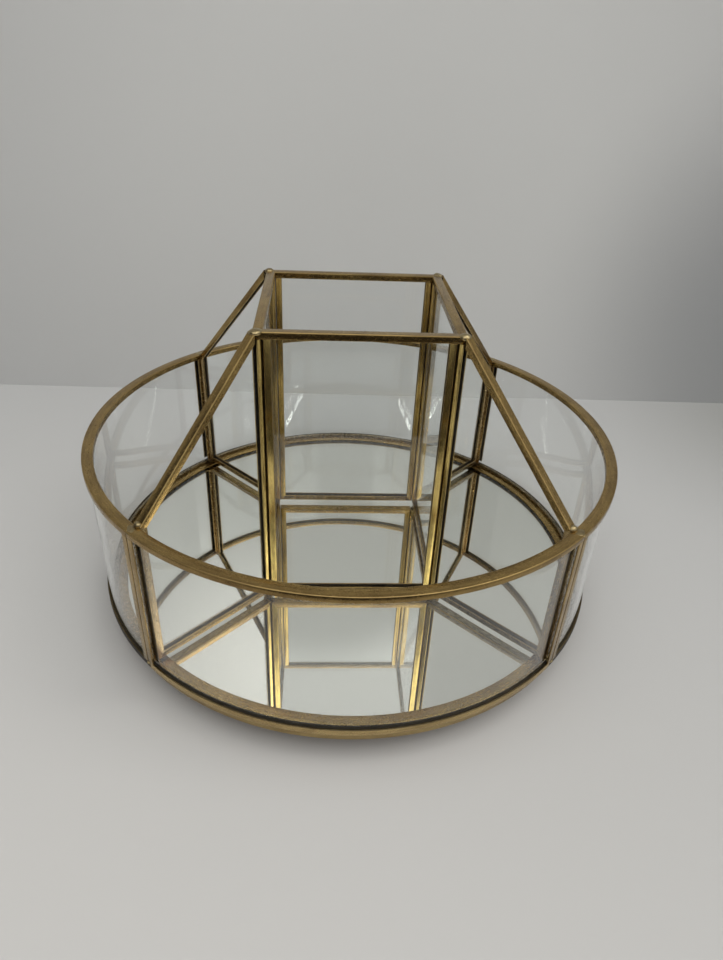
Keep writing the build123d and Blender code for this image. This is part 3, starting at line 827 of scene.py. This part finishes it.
# a flat pane's cut edges are greener than its faces, and the mirror's edge is sealed with dark paint
for node in flatPanes + ["mirror_glass"]:
    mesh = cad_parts[node].data
    mesh.materials.append(plains["edgePaintAndPaneShade"] if node == "mirror_glass" else glasses["cutEdge"])
    widest = max(mesh.polygons, key=lambda face: face.area)
    for face in mesh.polygons:
        face.material_index = faceSlot if abs(face.normal.dot(widest.normal)) > aligned else edgeSlot
print("kept nodes:", len(keptFinishes))


# floor and one-sided wall behind the drum, with painted pools of light and patches of shade; a spot is a
# centre, a reach and a colour
stageLook = {
    "size": 6.0, "rough": 0.9, "shine": 0.1, "floor": (0.53, 0.53, 0.525, 1),
    "floorPaintedLightAndShade": [((-0.12, -0.32, 0), (0.08, 0.60), (0.64, 0.63, 0.615, 1)),
                   ((0.46, 0.18, 0), (0.05, 0.28), (0.36, 0.36, 0.345, 1))],
    "wall": (0.59, 0.59, 0.585, 1), "wallDistance": 0.2425, "wallTurn": -0.94, "wallHeight": 3.0,
    "wallPaintedLightAndShade": [((0.03, 0.2425, 0.22), (0.08, 0.42), (0.77, 0.77, 0.755, 1)),
                  ((0.40, 0.2425, 0.08), (0.06, 0.26), (0.39, 0.395, 0.40, 1))],
}


def makeStagePlane(name, corners, base, spots, oneSided=False):
    # pale, going softly round each spot to a lighter colour, painted light, or a darker one, painted shade
    mesh = bpy.data.meshes.new(name)
    mesh.from_pydata(corners, [], [(0, 1, 2, 3)])
    piece = bpy.data.objects.new(name, mesh)
    bpy.context.scene.collection.objects.link(piece)
    material, tree = startMaterial(name)
    coords = addNode(tree, "ShaderNodeTexCoord")
    color = base
    for centre, reach, lightAndShadeColor in spots:
        apart = vectorCalc(tree, "DISTANCE", coords.outputs["Object"], centre)
        color = mixColor(tree, mapRange(tree, apart, *reach), lightAndShadeColor, color)
    shader = addNode(tree, "ShaderNodeBsdfPrincipled", Base_Color=color, Roughness=stageLook["rough"],
                     Specular_IOR_Level=stageLook["shine"])
    surface = shader.outputs["BSDF"]
    if oneSided:
        geometry = addNode(tree, "ShaderNodeNewGeometry")
        clear = addNode(tree, "ShaderNodeBsdfTransparent")
        surface = mixShaders(tree, geometry.outputs["Backfacing"], surface, clear.outputs["BSDF"])
    addNode(tree, "ShaderNodeOutputMaterial", Surface=surface)
    giveMaterial(piece, material)
    return piece


half = stageLook["size"] / 2
makeStagePlane("floor", [(-half, -half, 0), (half, -half, 0), (half, half, 0), (-half, half, 0)],
               stageLook["floor"], stageLook["floorPaintedLightAndShade"])
shift = half * math.tan(math.radians(stageLook["wallTurn"]))
wallLeft, wallRight = stageLook["wallDistance"] - shift, stageLook["wallDistance"] + shift
wallTop = stageLook["wallHeight"]
makeStagePlane("wall", [(-half, wallLeft, 0), (half, wallRight, 0), (half, wallRight, wallTop),
                        (-half, wallLeft, wallTop)],
               stageLook["wall"], stageLook["wallPaintedLightAndShade"], oneSided=True)

# dark card that lies in front and shows only after a reflection, which gives the brass its dark sides
cardLook = {"near": -0.250, "far": -1.4, "half": 0.75, "height": 0.002, "color": (0.03, 0.027, 0.024, 1)}
near, far, half, level = (cardLook[key] for key in ("near", "far", "half", "height"))
card = makeStagePlane("card", [(-half, far, level), (half, far, level), (half, near, level),
                               (-half, near, level)], cardLook["color"], [])
card.visible_diffuse = card.visible_shadow = False
cardTree = card.data.materials[0].node_tree
cardPath = addNode(cardTree, "ShaderNodeLightPath")
cardClear = addNode(cardTree, "ShaderNodeBsdfTransparent")
cardSurface = mixShaders(cardTree, calc(cardTree, "GREATER_THAN", cardPath.outputs["Glossy Depth"], 0.5),
                         cardClear.outputs["BSDF"], cardTree.nodes["Principled BSDF"].outputs["BSDF"])
cardTree.links.new(cardSurface, cardTree.nodes["Material Output"].inputs["Surface"])

# a room that is bright overhead, dark to the left and dimmer low down in front and to the right; a dim darkens
# it over a range along an axis, below its top, and a spot is a soft round patch by its way and reach in degrees
worldLook = {
    "strength": 1.74, "level": (0.55, 0.56, 0.56, 1), "overhead": (1.0, 1.0, 0.98, 1), "rise": (0.0, 0.75),
    "dims": [
        {"axis": "X", "range": (-0.30, -0.65), "top": 0.84, "color": (0.045, 0.045, 0.045, 1)},
        {"axis": "Y", "range": (-0.40, -0.80), "top": 0.55, "color": (0.20, 0.195, 0.19, 1)},
        {"axis": "X", "range": (0.30, 0.65), "top": 0.68, "color": (0.36, 0.36, 0.355, 1)},
    ],
    "softBelow": 0.15, "softAbove": 0.12,
    "spots": [
        {"way": (92, 55), "reach": (8, 20), "color": (1.6, 1.56, 1.48, 1)},
        {"way": (180, 33), "reach": (11, 15.5), "color": (0.15, 0.15, 0.15, 1)},
    ],
}


def wayVector(turn, rise):
    # degrees clockwise from +Y and degrees up
    turn, rise = math.radians(turn), math.radians(rise)
    return Vector((math.sin(turn) * math.cos(rise), math.cos(turn) * math.cos(rise), math.sin(rise)))


def makeRoom(look):
    world = bpy.data.worlds.new("room")
    world.use_nodes = True
    tree = world.node_tree
    way = addNode(tree, "ShaderNodeTexCoord").outputs["Generated"]
    split = addNode(tree, "ShaderNodeSeparateXYZ", Vector=way)
    color = mixColor(tree, mapRange(tree, split.outputs["Z"], *look["rise"]), look["level"], look["overhead"])
    for dim in look["dims"]:
        toward = mapRange(tree, split.outputs[dim["axis"]], *dim["range"])
        low = mapRange(tree, split.outputs["Z"], dim["top"] - look["softBelow"], dim["top"] + look["softAbove"],
                       1.0, 0.0)
        color = mixColor(tree, calc(tree, "MULTIPLY", toward, low), color, dim["color"])
    for spot in look["spots"]:
        near = vectorCalc(tree, "DOT_PRODUCT", way, wayVector(*spot["way"]))
        full, none = (math.cos(math.radians(angle)) for angle in spot["reach"])
        color = mixColor(tree, mapRange(tree, near, none, full), color, spot["color"])
    fill(tree, [tree.nodes["Background"].inputs[label] for label in ("Color", "Strength")],
         (color, look["strength"]))
    bpy.context.scene.world = world


makeRoom(worldLook)

# each lamp by the way it lies from the drum, metres away, and degrees it is tilted
lampLooks = {
    "skylight": {"way": (50, 62), "away": 2.2, "tilt": 0, "size": (1.4, 1.4), "watts": 11.0,
                 "color": (1.0, 0.985, 0.96)},
    "tubeRight": {"way": (150.5, 27), "away": 2.0, "tilt": 22, "size": (0.34, 0.024), "watts": 0.55,
                  "color": (1.0, 1.0, 1.0)},
    "tubeLeft": {"way": (-149.5, 27), "away": 2.0, "tilt": -22, "size": (0.34, 0.024), "watts": 0.55,
                 "color": (1.0, 1.0, 1.0)},
}
for name, look in lampLooks.items():
    lamp = bpy.data.lights.new(name, "AREA")
    lamp.shape = "RECTANGLE"
    lamp.size, lamp.size_y = look["size"]
    lamp.energy = look["watts"]
    lamp.color = look["color"]
    toLamp = wayVector(*look["way"])
    holder = bpy.data.objects.new(name, lamp)
    holder.location = toLamp * look["away"]
    holder.rotation_mode = "QUATERNION"
    tilt = Quaternion((0, 0, 1), math.radians(look["tilt"]))
    holder.rotation_quaternion = toLamp.to_track_quat("Z", "Y") @ tilt
    bpy.context.scene.collection.objects.link(holder)

scene = bpy.context.scene
scene.view_settings.view_transform = "Standard"
scene.cycles.max_bounces = 48
scene.cycles.transmission_bounces = 40
scene.cycles.glossy_bounces = 24
scene.cycles.transparent_max_bounces = 48
scene.cycles.diffuse_bounces = 4

bpy.context.view_layer.update()
